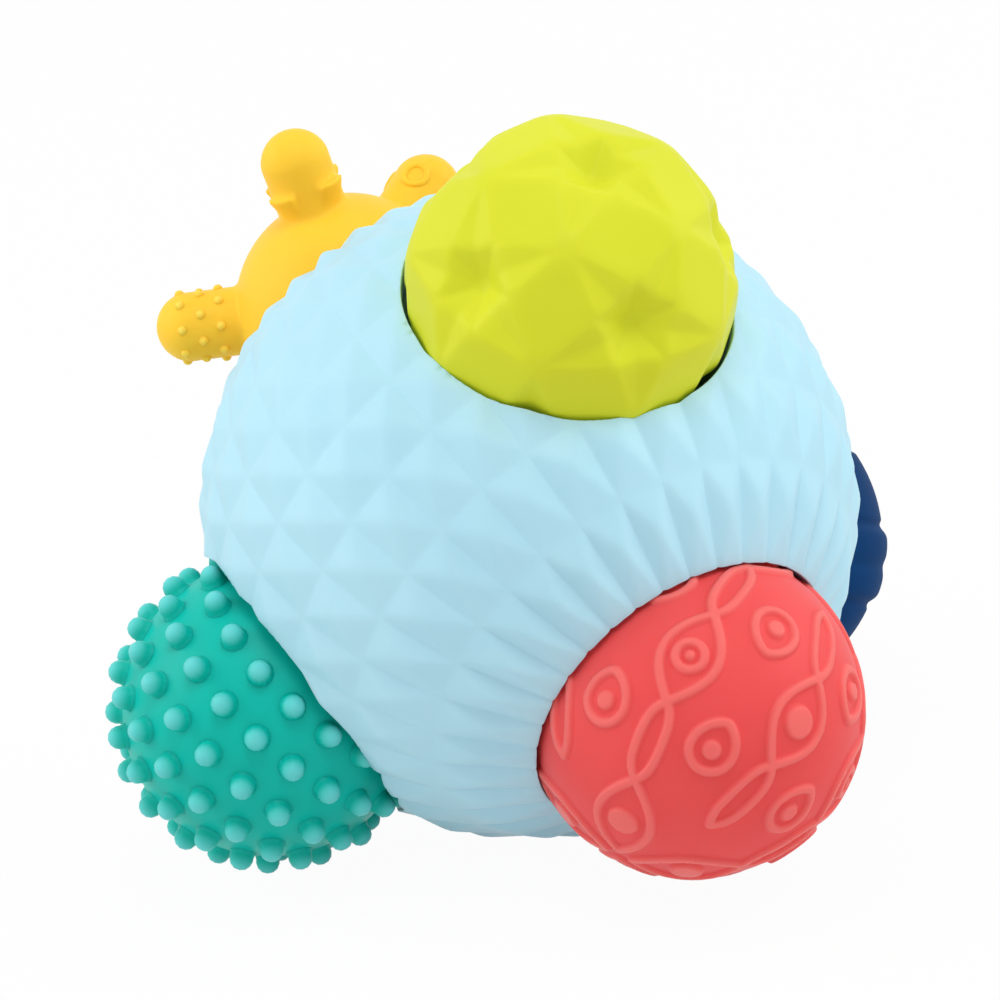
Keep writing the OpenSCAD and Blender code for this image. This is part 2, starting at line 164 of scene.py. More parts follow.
def cubeBall(name, radius, steps):
    # A cube's grid blown up to a ball, in even turns
    verts, faces = [], []
    for axis in range(3):
        for side in (-1, 1):
            first = len(verts)
            for j in range(steps + 1):
                for i in range(steps + 1):
                    u = math.tan((2 * i / steps - 1) * math.pi / 4)
                    v = math.tan((2 * j / steps - 1) * math.pi / 4) * side
                    point = [0, 0, 0]
                    point[axis], point[(axis + 1) % 3], point[(axis + 2) % 3] = side, u, v
                    verts.append(radius * Vector(point).normalized())
            for j in range(steps):
                for i in range(steps):
                    a = first + j * (steps + 1) + i
                    faces.append([a, a + 1, a + steps + 2, a + steps + 1])
    obj = meshObject(name, verts, faces)
    bm = bmesh.new()
    bm.from_mesh(obj.data)
    bmesh.ops.remove_doubles(bm, verts=bm.verts, dist=radius * mergeShare)
    bm.to_mesh(obj.data)
    bm.free()
    return obj


# Geometry Nodes

def startTree(name, sockets):
    tree = bpy.data.node_groups.new(name, "GeometryNodeTree")
    tree.interface.new_socket("Geometry", in_out="INPUT", socket_type="NodeSocketGeometry")
    for label, kind in sockets:
        tree.interface.new_socket(label, in_out="INPUT", socket_type="NodeSocket" + kind)
    tree.interface.new_socket("Material", in_out="INPUT", socket_type="NodeSocketMaterial")
    tree.interface.new_socket("Geometry", in_out="OUTPUT", socket_type="NodeSocketGeometry")
    return tree, tree.nodes.new("NodeGroupInput").outputs


def add(tree, kind, inputs=None, **settings):
    node = tree.nodes.new(kind)
    for label, value in settings.items():
        setattr(node, label, value)
    for label, value in (inputs or {}).items():
        if isinstance(value, bpy.types.NodeSocket):
            tree.links.new(value, node.inputs[label])
        else:
            node.inputs[label].default_value = value
    return node


def maths(tree, operation, first, second):
    return add(tree, "ShaderNodeMath", {0: first, 1: second}, operation=operation).outputs[0]


def endTree(tree, geometry, material):
    real = add(tree, "GeometryNodeRealizeInstances", {"Geometry": geometry})
    smooth = add(tree, "GeometryNodeSetShadeSmooth", {"Geometry": real.outputs["Geometry"]})
    skin = add(tree, "GeometryNodeSetMaterial",
               {"Geometry": smooth.outputs["Geometry"], "Material": material})
    out = tree.nodes.new("NodeGroupOutput")
    tree.links.new(skin.outputs["Geometry"], out.inputs["Geometry"])
    return tree


def runTree(obj, tree, values):
    modifier = obj.modifiers.new(tree.name, "NODES")
    modifier.node_group = tree
    for item in tree.interface.items_tree:
        if item.item_type == "SOCKET" and item.in_out == "INPUT" and item.name in values:
            modifier[item.identifier] = values[item.name]
    depsgraph = bpy.context.evaluated_depsgraph_get()
    mesh = bpy.data.meshes.new_from_object(
        obj.evaluated_get(depsgraph), preserve_all_data_layers=True, depsgraph=depsgraph)
    obj.modifiers.clear()
    obj.data = mesh
    return obj


def softFacetsTree():
    # Splits flat facets into small ones and rounds the edges between them, or only the high ones
    tree, given = startTree("softFacets", [("Level", "Int"), ("Rounding", "Int"),
                                           ("Crisp Valleys", "Bool")])
    split = add(tree, "GeometryNodeSubdivideMesh",
                {"Mesh": given["Geometry"], "Level": given["Level"]})
    place = add(tree, "GeometryNodeInputPosition")
    blur = add(tree, "GeometryNodeBlurAttribute", {
        "Value": place.outputs["Position"], "Iterations": given["Rounding"]},
        data_type="FLOAT_VECTOR")
    before = add(tree, "ShaderNodeVectorMath", {0: place.outputs["Position"]}, operation="LENGTH")
    after = add(tree, "ShaderNodeVectorMath", {0: blur.outputs["Value"]}, operation="LENGTH")
    filled = add(tree, "FunctionNodeCompare", {
        "A": after.outputs["Value"], "B": before.outputs["Value"]}, operation="GREATER_THAN")
    kept = add(tree, "FunctionNodeBooleanMath", {
        0: filled.outputs["Result"], 1: given["Crisp Valleys"]}, operation="AND")
    moves = add(tree, "FunctionNodeBooleanMath", {0: kept.outputs["Boolean"]}, operation="NOT")
    moved = add(tree, "GeometryNodeSetPosition", {
        "Geometry": split.outputs["Mesh"], "Selection": moves.outputs["Boolean"],
        "Position": blur.outputs["Value"]})
    return endTree(tree, moved.outputs["Geometry"], given["Material"])


def raisedLinesTree():
    # Lifts a ball's skin along drawn lines, with soft shoulders
    tree, given = startTree("raisedLines", [
        ("Lines", "Object"), ("Line Width", "Float"), ("Shoulder", "Float"), ("Height", "Float")])
    drawn = add(tree, "GeometryNodeObjectInfo", {"Object": given["Lines"]})
    near = add(tree, "GeometryNodeProximity", {0: drawn.outputs["Geometry"]},
               target_element="EDGES")
    half = maths(tree, "MULTIPLY", given["Line Width"], 0.5)
    inner = maths(tree, "SUBTRACT", half, given["Shoulder"])
    lift = add(tree, "ShaderNodeMapRange", {
        "Value": near.outputs["Distance"], "From Min": inner, "From Max": half,
        "To Min": given["Height"], "To Max": 0.0}, interpolation_type="SMOOTHSTEP")
    place = add(tree, "GeometryNodeInputPosition")
    outwards = add(tree, "ShaderNodeVectorMath", {0: place.outputs["Position"]},
                   operation="NORMALIZE")
    step = add(tree, "ShaderNodeVectorMath", {
        0: outwards.outputs["Vector"], "Scale": lift.outputs["Result"]}, operation="SCALE")
    share = maths(tree, "DIVIDE", lift.outputs["Result"], given["Height"])
    marked = add(tree, "GeometryNodeStoreNamedAttribute", {
        "Geometry": given["Geometry"], "Name": "tip", "Value": share},
        data_type="FLOAT", domain="POINT")
    moved = add(tree, "GeometryNodeSetPosition",
                {"Geometry": marked.outputs["Geometry"], "Offset": step.outputs["Vector"]})
    return endTree(tree, moved.outputs["Geometry"], given["Material"])


def studRowsTree():
    # Sets a stud on each point, turned along the point's outward attribute, and adds the body
    tree, given = startTree("studRows", [("Stud", "Object"), ("Body", "Object")])
    stud = add(tree, "GeometryNodeObjectInfo", {"Object": given["Stud"]})
    body = add(tree, "GeometryNodeObjectInfo", {"Object": given["Body"]})
    outward = add(tree, "GeometryNodeInputNamedAttribute", {"Name": "outward"},
                  data_type="FLOAT_VECTOR")
    turn = add(tree, "FunctionNodeAlignRotationToVector",
               {"Vector": outward.outputs["Attribute"]}, axis="Z")
    studs = add(tree, "GeometryNodeInstanceOnPoints", {
        "Points": given["Geometry"], "Instance": stud.outputs["Geometry"],
        "Rotation": turn.outputs["Rotation"]})
    both = add(tree, "GeometryNodeJoinGeometry")
    tree.links.new(body.outputs["Geometry"], both.inputs["Geometry"])
    tree.links.new(studs.outputs["Instances"], both.inputs["Geometry"])
    return endTree(tree, both.outputs["Geometry"], given["Material"])


def tubeLinesTree():
    # Runs a round bead along drawn lines, and adds the body
    tree, given = startTree("tubeLines", [
        ("Bead Radius", "Float"), ("Bead Sides", "Int"), ("Body", "Object")])
    body = add(tree, "GeometryNodeObjectInfo", {"Object": given["Body"]})
    curve = add(tree, "GeometryNodeMeshToCurve", {"Mesh": given["Geometry"]})
    ring = add(tree, "GeometryNodeCurvePrimitiveCircle", {
        "Radius": given["Bead Radius"], "Resolution": given["Bead Sides"]})
    bead = add(tree, "GeometryNodeCurveToMesh", {
        "Curve": curve.outputs["Curve"], "Profile Curve": ring.outputs["Curve"]})
    both = add(tree, "GeometryNodeJoinGeometry")
    tree.links.new(body.outputs["Geometry"], both.inputs["Geometry"])
    tree.links.new(bead.outputs["Mesh"], both.inputs["Geometry"])
    return endTree(tree, both.outputs["Geometry"], given["Material"])


softFacets = softFacetsTree()
raisedLines = raisedLinesTree()
studRows = studRowsTree()
tubeLines = tubeLinesTree()
print("node trees built")


# Soft vinyl finishes
grainLook = {
    "cloudScale": 28.0,
    "cloudDetail": 3.0,
    "colourBand": (0.35, 0.65),  # of the clouds, over which the colour drifts
    "roughBand": (0.3, 0.7),
    "roughSpread": 0.04,
    "grainScale": 1500.0,
    "grainDetail": 2.0,
    "bumpStrength": 0.06,
    "bumpDepth": 0.3 * mm,
    "bleedReach": 4 * mm,        # of light under the skin
}
mixA, mixB, mixResult = 6, 7, 2  # a Mix node's colour sockets


def vinylGrainGroup():
    group = bpy.data.node_groups.new("vinylGrain", "ShaderNodeTree")
    for label, kind in (("Vector", "Vector"), ("Colour", "Color"), ("Shade", "Color"),
                        ("Roughness", "Float"), ("Spread", "Float")):
        group.interface.new_socket(label, in_out="INPUT", socket_type="NodeSocket" + kind)
    for label, kind in (("Colour", "Color"), ("Roughness", "Float"), ("Height", "Float")):
        group.interface.new_socket(label, in_out="OUTPUT", socket_type="NodeSocket" + kind)
    given = group.nodes.new("NodeGroupInput").outputs
    out = group.nodes.new("NodeGroupOutput")
    clouds = add(group, "ShaderNodeTexNoise", {
        "Vector": given["Vector"], "Scale": grainLook["cloudScale"],
        "Detail": grainLook["cloudDetail"]})
    grain = add(group, "ShaderNodeTexNoise", {
        "Vector": given["Vector"], "Scale": grainLook["grainScale"],
        "Detail": grainLook["grainDetail"]})
    low, high = grainLook["colourBand"]
    drift = add(group, "ShaderNodeMapRange", {
        "Value": clouds.outputs[0], "From Min": low, "From Max": high})
    mix = add(group, "ShaderNodeMix", {"Factor": drift.outputs["Result"]}, data_type="RGBA")
    group.links.new(given["Shade"], mix.inputs[mixA])
    group.links.new(given["Colour"], mix.inputs[mixB])
    group.links.new(mix.outputs[mixResult], out.inputs["Colour"])
    low, high = grainLook["roughBand"]
    rough = add(group, "ShaderNodeMapRange", {
        "Value": clouds.outputs[0], "From Min": low, "From Max": high,
        "To Min": maths(group, "SUBTRACT", given["Roughness"], given["Spread"]),
        "To Max": maths(group, "ADD", given["Roughness"], given["Spread"])})
    group.links.new(rough.outputs["Result"], out.inputs["Roughness"])
    group.links.new(grain.outputs[0], out.inputs["Height"])
    return group


vinylGrain = vinylGrainGroup()


def linear(rgb):
    # From sRGB, 0 to 255, to linear light
    def one(c):
        c /= 255
        return c / 12.92 if c <= 0.04045 else ((c + 0.055) / 1.055) ** 2.4
    return (*(one(c) for c in rgb), 1)


def vinyl(name, colour, shade, tip=None, roughness=0.45, gloss=0.2, glow=0.12, bleed=(1, 1, 1),
          paintedGlow=0):
    material = bpy.data.materials.new(name)
    material.use_nodes = True
    tree = material.node_tree
    bsdf = tree.nodes["Principled BSDF"]
    where = tree.nodes.new("ShaderNodeTexCoord")
    grain = tree.nodes.new("ShaderNodeGroup")
    grain.node_tree = vinylGrain
    tree.links.new(where.outputs["Object"], grain.inputs["Vector"])
    for label, value in (("Colour", linear(colour)), ("Shade", linear(shade)),
                         ("Roughness", roughness), ("Spread", grainLook["roughSpread"])):
        grain.inputs[label].default_value = value
    skinColour = grain.outputs["Colour"]
    if tip:  # studs and raised lines are paler at their tops
        reach = tree.nodes.new("ShaderNodeAttribute")
        reach.attribute_name = "tip"
        paler = add(tree, "ShaderNodeMix", {"Factor": reach.outputs["Fac"]}, data_type="RGBA")
        tree.links.new(skinColour, paler.inputs[mixA])
        paler.inputs[mixB].default_value = linear(tip)
        skinColour = paler.outputs[mixResult]
    tree.links.new(skinColour, bsdf.inputs["Base Color"])
    tree.links.new(grain.outputs["Roughness"], bsdf.inputs["Roughness"])
    bump = add(tree, "ShaderNodeBump", {
        "Height": grain.outputs["Height"], "Strength": grainLook["bumpStrength"],
        "Distance": grainLook["bumpDepth"]})
    tree.links.new(bump.outputs["Normal"], bsdf.inputs["Normal"])
    # Emission in the vinyl's own colour is painted light: a glow that brightens its shaded parts
    for label, value in (("Specular IOR Level", gloss), ("Subsurface Weight", glow),
                         ("Subsurface Radius", bleed),
                         ("Subsurface Scale", grainLook["bleedReach"]),
                         ("Emission Color", linear(colour)), ("Emission Strength", paintedGlow)):
        bsdf.inputs[label].default_value = value
    return material


blueVinyl = vinyl("blueVinyl", (185, 230, 245), (181, 227, 243))
redVinyl = vinyl("redVinyl", (241, 85, 85), (238, 80, 81), tip=(244, 112, 108), glow=0.5,
                 bleed=(1, 0.3, 0.2))
limeVinyl = vinyl("limeVinyl", (222, 226, 52), (218, 222, 46), gloss=0.12)
tealVinyl = vinyl("tealVinyl", (0, 194, 178), (0, 189, 173), tip=(108, 214, 212), gloss=0.16,
                  glow=0.3, bleed=(0.2, 1, 1))
navyVinyl = vinyl("navyVinyl", (6, 60, 112), (4, 55, 104), roughness=0.65, gloss=0.06, glow=0.05)
# The yellow gets a small painted glow, an emission that lifts its shade
yellowVinyl = vinyl("yellowVinyl", (255, 204, 61), (255, 199, 55), tip=(255, 217, 92), glow=0.3,
                    gloss=0.12, bleed=(1, 0.4, 0.2), paintedGlow=0.08)
print("vinyl finishes made")


def wear(piece, body, slot, *nodes):
    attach(piece, body)
    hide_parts(*nodes)


# Big ball: soft diamonds, with round-edged pockets let into them
bigBall = {
    "level": 3,               # splits of each facet
    "rounding": 2,            # rounds of softening
    "rimGap": 0.25 * mm,      # between a small ball and its pocket
    "limeLip": 0.4 * mm,      # the lime pocket's edge lies closer to its faceted ball
    "lipRings": 4,
    "rimRound": 0.35 * mm,    # how far a pocket's round edge reaches over the ball
    "rimDrop": 1.0 * mm,      # and down the pocket's wall
    "rimSteps": 5,
    "cupRings": 14,
    "slide": 0.6 * mm,        # points this near a rim move onto it
    "slideRounds": 3,
    "edgeRounds": 4,
    "onRim": 0.001 * mm,      # points this near a rim are on it
}
pocketRadius = toyRadius + bigBall["rimGap"]


def diamondFacets():
    columns, rows = ball["columns"], ball["rows"]
    verts = [atHeight(valleyRadius, rowZ(row), (column + 0.5) * columnTurn)
             for row in range(rows + 1) for column in range(columns)]
    firstTip = len(verts)
    verts += [atHeight(ball["radius"], rowZ(row + 0.5), (column + 1) * columnTurn)
              for row in range(rows) for column in range(columns)]
    faces = []
    for row in range(rows):
        for column in range(columns):
            beside = (column + 1) % columns
            low = row * columns
            high = low + columns
            corners = [low + column, low + beside, high + beside, high + column]
            tip = firstTip + low + column
            faces += [[corners[k], corners[(k + 1) % 4], tip] for k in range(4)]
    return meshObject("bigBallSkin", verts, faces)


def cutPocket(bm, name):
    turn = pocketTurn(name)
    axis = turn.col[2].to_3d()
    side, up = turn.col[0].to_3d(), turn.col[1].to_3d()
    # The yellow ball is smaller than its pocket; the others fill theirs
    reach, wallRadius = seatReach + pockets[name][2], pocketRadius
    if name == "yellow":
        reach, wallRadius = cupReach, cupRadius
    cup = axis * reach
    lip = bigBall["limeLip"] if name == "lime" else 0
    edgeRadius = wallRadius - lip
    cutRadius = edgeRadius + bigBall["rimRound"]

    def over(point):
        return (point - cup).length - cutRadius

    def alongSkin(vert):  # the way across the rim, along the ball
        way = (vert.co - cup).normalized()
        outwards = vert.co.normalized()
        return way - outwards * way.dot(outwards)

    for vert in bm.verts:
        if vert.co.dot(axis) > 0 and abs(over(vert.co)) < bigBall["slide"]:
            for repeat in range(bigBall["slideRounds"]):
                way = alongSkin(vert)
                vert.co -= way * (over(vert.co) / way.length_squared)
    tiny = bigBall["onRim"]
    height = {vert: over(vert.co) for vert in bm.verts}
    for edge in list(bm.edges):
        a, b = edge.verts
        if height[a] * height[b] < 0 and min(abs(height[a]), abs(height[b])) > tiny:
            vert = bmesh.utils.edge_split(edge, a, height[a] / (height[a] - height[b]))[1]
            height[vert] = 0
    for face in list(bm.faces):
        marks = [height[v] for v in face.verts]
        if min(marks) < -tiny and max(marks) > tiny:
            cut = [v for v in face.verts if abs(height[v]) <= tiny]
            if len(cut) == 2:
                bmesh.utils.face_split(face, cut[0], cut[1])
    inside = [f for f in bm.faces if min(height[v] for v in f.verts) < -tiny]
    bmesh.ops.delete(bm, geom=inside, context="FACES")
    rim = [v for v in bm.verts
           if v.is_boundary and v.co.dot(axis) > 0 and abs(over(v.co)) < bigBall["slide"]]
    rim.sort(key=lambda v: math.atan2(v.co.dot(up), v.co.dot(side)))
    rings = [rim]
    spines = []
    for vert in rim:
        way = -alongSkin(vert).normalized()
        edge = vert.co.copy()
        for repeat in range(bigBall["edgeRounds"]):
            past = (edge - cup).length - edgeRadius
            edge -= way * (past / way.dot((edge - cup).normalized()))
        down = (edge - cup).normalized()
        down = -(axis - down * axis.dot(down)).normalized()
        wall = cup + (edge + down * bigBall["rimDrop"] - cup).normalized() * edgeRadius
        spines.append((vert.co.copy(), edge, wall))
    for k in range(1, bigBall["rimSteps"] + 1):
        t = k / bigBall["rimSteps"]
        rings.append([bm.verts.new(a * (1 - t) ** 2 + b * 2 * t * (1 - t) + c * t * t)
                      for a, b, c in spines])
    for k in range(1, bigBall["cupRings"]):
        ring = []
        radius = wallRadius - lip * max(0, 1 - k / bigBall["lipRings"])
        for _, _, wall in spines:
            out = wall - cup
            turned = out.angle(-axis) * (1 - k / bigBall["cupRings"])
            across = (out - axis * out.dot(axis)).normalized()
            ring.append(bm.verts.new(
                cup + (across * math.sin(turned) - axis * math.cos(turned)) * radius))
        rings.append(ring)
    count = len(rim)
    for outer, inner in zip(rings, rings[1:]):
        for k in range(count):
            n = (k + 1) % count
            bm.faces.new((outer[k], outer[n], inner[n], inner[k]))
    pole = bm.verts.new(cup - axis * wallRadius)
    for k in range(count):
        bm.faces.new((rings[-1][k], rings[-1][(k + 1) % count], pole))


bigBallSkin = runTree(diamondFacets(), softFacets, {
    "Level": bigBall["level"], "Rounding": bigBall["rounding"], "Crisp Valleys": True,
    "Material": blueVinyl})
bm = bmesh.new()
bm.from_mesh(bigBallSkin.data)
for name in pockets:
    cutPocket(bm, name)
bmesh.ops.delete(bm, geom=[v for v in bm.verts if not v.link_faces], context="VERTS")
for face in bm.faces:
    face.smooth = True
bm.to_mesh(bigBallSkin.data)
print("big ball: open edges", sum(e.is_boundary for e in bm.edges))
bm.free()
bigBallSkin.data.transform(standing)
wear(bigBallSkin, "big_ball", "blue_vinyl", "big_ball_skin")

# Red ball: strands cross into chains of eyes from end to end, with loose loops between them
redBall = {
    "steps": 124,
    "height": 0.9 * mm,
    "lineWidth": 1.9 * mm,
    "shoulder": 0.7 * mm,
    "lean": (62.9, 121.2),
    "chains": 8,
    "chainStart": 252.3,
    "largeEye": (17.5, 6.3 * mm),   # half its length in degrees, half its width
    "smallEye": (14.8, 2.7 * mm),
    "endEye": (19, 6.3 * mm),
    "smallHeight": 32.2,            # degrees from the ring of large eyes
    "endHeight": 66.2,
    "loopHeight": 24.7,
    "crossSlope": 1.0,
    "loopRadius": 4.9 * mm,
    "loopTip": 1.36,                # reach of its pointed end, in radii
    "loopDot": 2.1 * mm,
    "eyeRing": 3.2 * mm,
    "ringDot": 1.1 * mm,
    "eyeDisc": 3.6 * mm,
    "discStep": 0.6,                # between the lines that fill a disc, in line widths
    "discMiddle": 0.1 * mm,
    "circleSteps": 28,
    "eyeSteps": 12,                 # from its middle to its end
    "loopSteps": 32,
    "loopPinch": 0.35,              # how slender its pointed end is
}
redRadius = toyRadius - redBall["height"]


class LineSheet:
    # Collects lines drawn on a ball as edges
    def __init__(self, radius):
        self.radius, self.verts, self.edges = radius, [], []

    def draw(self, heightAngle, turn, points, closed):
        first = len(self.verts)
        place = facing(heightAngle, turn)
        for x, y in points:
            z = math.sqrt(self.radius ** 2 - x * x - y * y)
            self.verts.append(place @ Vector((x, y, z)))
        count = len(points)
        self.edges += [(first + k, first + (k + 1) % count)
                       for k in range(count if closed else count - 1)]

    def circle(self, heightAngle, turn, radius):
        count = redBall["circleSteps"]
        steps = [2 * math.pi * k / count for k in range(count)]
        self.draw(heightAngle, turn, [
            (radius * math.cos(a), radius * math.sin(a)) for a in steps], True)

    def disc(self, heightAngle, turn, radius):
        width = redBall["lineWidth"]
        ring = radius - width / 2
        while ring > 0:
            self.circle(heightAngle, turn, ring)
            ring -= width * redBall["discStep"]
        self.circle(heightAngle, turn, redBall["discMiddle"])

    def eye(self, heightAngle, turn, size):
        length = self.radius * math.sin(math.radians(size[0]))
        width, steps = size[1], redBall["eyeSteps"]
        bend = redBall["crossSlope"] * length / (2 * width) - 1
        for sign in (1, -1):
            self.draw(heightAngle, turn, [
                (sign * width * (1 - s * s) * (1 + bend * s * s), s * length)
                for s in (k / steps - 1 for k in range(2 * steps + 1))], False)

    def loop(self, heightAngle, turn):
        # A drop shape with its point towards the ring of large eyes
        radius, down = redBall["loopRadius"], -1 if heightAngle > 0 else 1
        points = []
        for k in range(redBall["loopSteps"]):
            around = 2 * math.pi * k / redBall["loopSteps"]
            x, y = math.cos(around), math.sin(around)
            if y > 0:
                x, y = x * abs(x) ** redBall["loopPinch"], y * redBall["loopTip"]
            points.append((radius * x, radius * y * down))
        self.draw(heightAngle, turn, points, True)
        self.disc(heightAngle, turn, redBall["loopDot"])


def redLines():
    sheet = LineSheet(redRadius)
    step = 360 / redBall["chains"]
    for k in range(redBall["chains"]):
        turn = redBall["chainStart"] + k * step
        sheet.eye(0, turn, redBall["largeEye"])
        if k % 2 == 0:
            sheet.circle(0, turn, redBall["eyeRing"])
            sheet.disc(0, turn, redBall["ringDot"])
        else:
            sheet.disc(0, turn, redBall["eyeDisc"])
        for sign in (-1, 1):
            sheet.eye(sign * redBall["smallHeight"], turn, redBall["smallEye"])
            sheet.loop(sign * redBall["loopHeight"], turn + step / 2)
            if k % 2 == 0:  # every second chain goes on to the ends
                sheet.eye(sign * redBall["endHeight"], turn, redBall["endEye"])
                sheet.disc(sign * redBall["endHeight"], turn, redBall["eyeDisc"])
    return meshObject("redLines", sheet.verts, edges=sheet.edges)


lines = redLines()
redBallSkin = runTree(cubeBall("redBallSkin", redRadius, redBall["steps"]), raisedLines, {
    "Lines": lines, "Line Width": redBall["lineWidth"] + redBall["shoulder"],
    "Shoulder": redBall["shoulder"], "Height": redBall["height"], "Material": redVinyl})
dropObject(lines)
redLean, redWay = redBall["lean"]
redBallSkin.data.transform(seat("red") @ rot("Z", redWay) @ rot("Y", redLean))
wear(redBallSkin, "red_ball", "red_vinyl", "red_ball_skin")
print("red ball made")

# Lime ball: twelve star-shaped dents between soft-edged facets
limeBall = {
    "dentRadius": 31 * mm,
    "dentCut": 28.8 * mm,      # before softening
    "notchRadius": 34.5 * mm,  # inner corners between a star's points
    "pointAngle": 16.5,        # a star's points, from its middle
    "notchAngle": 12.5,
    "spin": -9.5,
    "level": 4,
    "rounding": 9,
    "plugRoom": 5.9 * mm,      # flat round seat for the plug
}


def dentWays():
    # An icosahedron's corners: two ends, and two rings of five between them
    ring = math.atan(0.5)
    ways = [Vector((0, 0, 1))]
    for sign, shift in ((1, 0), (-1, 36)):
        for k in range(5):
            turn = math.radians(72 * k + shift)
            ways.append(Vector((math.cos(ring) * math.cos(turn), math.cos(ring) * math.sin(turn),
                                sign * math.sin(ring))))
    return ways + [Vector((0, 0, -1))]


def towards(start, end, degrees):
    side = (end - start * start.dot(end)).normalized()
    return start * math.cos(math.radians(degrees)) + side * math.sin(math.radians(degrees))


def dentedFacets():
    ways = dentWays()
    verts = [limeBall["dentCut"] * way for way in ways]
    points, faces = {}, []

    def new(radius, way):
        verts.append(radius * way)
        return len(verts) - 1

    # Between two dents, the stars' points and the two corners share one flat face
    halfSide = (ways[0] + ways[1]).normalized()
    cornerWay = (ways[0] + ways[1] + ways[2]).normalized()
    between = halfSide.angle(ways[0]) - math.radians(limeBall["pointAngle"])
    pointRadius = toyRadius * halfSide.dot(cornerWay) / math.cos(between)
    for a in range(len(ways)):  # dents side by side are less than a right angle apart
        for b in range(len(ways)):
            if a != b and ways[a].dot(ways[b]) > 0:
                points[a, b] = new(pointRadius,
                                   towards(ways[a], ways[b], limeBall["pointAngle"]))
    for a, b in list(points):
        for c in range(len(ways)):
            if a < b and a < c and (a, c) in points and (b, c) in points:
                if ways[a].cross(ways[b]).dot(ways[c]) > 0:
                    middle = (ways[a] + ways[b] + ways[c]).normalized()
                    corner = new(toyRadius, middle)
                    notch = {k: new(limeBall["notchRadius"],
                                    towards(ways[k], middle, limeBall["notchAngle"]))
                             for k in (a, b, c)}
                    for k, n in ((a, b), (b, c), (c, a)):
                        near, far = points[k, n], points[n, k]
                        faces += [[k, near, notch[k]], [notch[k], near, corner],
                                  [near, far, corner], [far, notch[n], corner],
                                  [far, n, notch[n]]]
    return meshObject("limeBallSkin", verts, faces)


nearWays = dentWays()[:3]
cornerAngle = (nearWays[0] + nearWays[1] + nearWays[2]).angle(nearWays[0])
limeReach = cupReach + toyRadius * math.cos(cornerAngle) - math.sqrt(
    (cupRadius - ball["seatGap"]) ** 2 - (toyRadius * math.sin(cornerAngle)) ** 2)
limePlugDepth = math.sqrt(limeBall["dentRadius"] ** 2 - plug["head"] ** 2)
limeBallSkin = runTree(dentedFacets(), softFacets, {
    "Level": limeBall["level"], "Rounding": limeBall["rounding"], "Material": limeVinyl})
softReach = max(vert.co.length for vert in limeBallSkin.data.vertices)
limeBallSkin.data.transform(Matrix.Scale(toyRadius / softReach, 4))
for vert in limeBallSkin.data.vertices:
    if vert.co.z < 0 and math.hypot(vert.co.x, vert.co.y) < limeBall["plugRoom"]:
        vert.co.z = -limePlugDepth + plug["skirt"]
limeBallSkin.data.transform(seat("lime", limeReach) @ rot("Z", limeBall["spin"]))
wear(limeBallSkin, "lime_ball", "lime_vinyl", "lime_ball_skin")
print("lime ball made")

# Teal ball: rows of round-ended nubs around a leaning axis
tealBall = {
    "radius": 33.3 * mm,
    "steps": 44,
    "nubRadius": 2.7 * mm,
    "nubSides": 12,
    "nubSink": 0.25 * mm,
    "rowTurn": 18,
    "nubCount": 20,
    "nubStart": 172.3,
    "rowStarts": (0, 0.5, 0, 0, 0, 0.5, 0, 0.5, 0, 0.5),  # shares of the step between nubs
    "lean": (22.7, 255.8),
}
studShape = {  # shared by the teal nubs and the yellow dots
    "neck": ((1.2, 0), (1.06, 0.35), (0.99, 0.75)),  # shares of its radius and its straight length
    "domeTurns": (0.12, 0.6, 1.05),                  # up its round end, in radians
    "paleFrom": 0.35,                                # share of its height
}


def studObject(name, foot, reach, radius, sides):
    # A round-ended peg with a flared foot; its tip attribute runs from 0 on its neck to 1
    dome = reach - radius
    profile = [(radius * wide, foot + (dome - foot) * up) for wide, up in studShape["neck"]]
    profile += [(radius * math.cos(a), dome + radius * math.sin(a))
                for a in studShape["domeTurns"]]
    stud = lathe(name, profile + [(0, reach)], sides)
    tip = stud.data.attributes.new("tip", "FLOAT", "POINT")
    for vert in stud.data.vertices:
        share = (vert.co.z - foot) / (reach - foot)
        pale = max(0, share - studShape["paleFrom"])
        tip.data[vert.index].value = pale / (1 - studShape["paleFrom"])
    return stud


def pointObject(name, points, ways):
    obj = meshObject(name, points)
    outward = obj.data.attributes.new("outward", "FLOAT_VECTOR", "POINT")
    for k, way in enumerate(ways):
        outward.data[k].vector = way
    return obj


def nubPoints():
    lean, way = tealBall["lean"]
    tilt = rot("Z", way) @ rot("Y", lean)
    clear = -math.sqrt(1 - ((plug["head"] + 2 * tealBall["nubRadius"]) / toyRadius) ** 2)
    ways = []
    for row, start in enumerate(tealBall["rowStarts"]):
        heightAngle = math.radians((row + 0.5) * tealBall["rowTurn"] - 90)
        count = round(tealBall["nubCount"] * math.cos(heightAngle))
        for k in range(count):
            turn = math.radians(tealBall["nubStart"]) + (k + start) * 2 * math.pi / count
            point = tilt @ Vector((math.cos(heightAngle) * math.cos(turn),
                                   math.cos(heightAngle) * math.sin(turn), math.sin(heightAngle)))
            if point.z > clear:  # the plug stays free
                ways.append(point)
    return pointObject("tealBallSkin", [Vector()] * len(ways), ways)


tealBody = cubeBall("tealBody", tealBall["radius"], tealBall["steps"])
nub = studObject("nub", tealBall["radius"] - tealBall["nubSink"], toyRadius,
                 tealBall["nubRadius"], tealBall["nubSides"])
tealBallSkin = runTree(nubPoints(), studRows, {
    "Stud": nub, "Body": tealBody, "Material": tealVinyl})
dropObject(nub)
dropObject(tealBody)
tealBallSkin.data.transform(seat("teal"))
wear(tealBallSkin, "teal_ball", "teal_vinyl", "teal_ball_skin")
print("teal ball made")

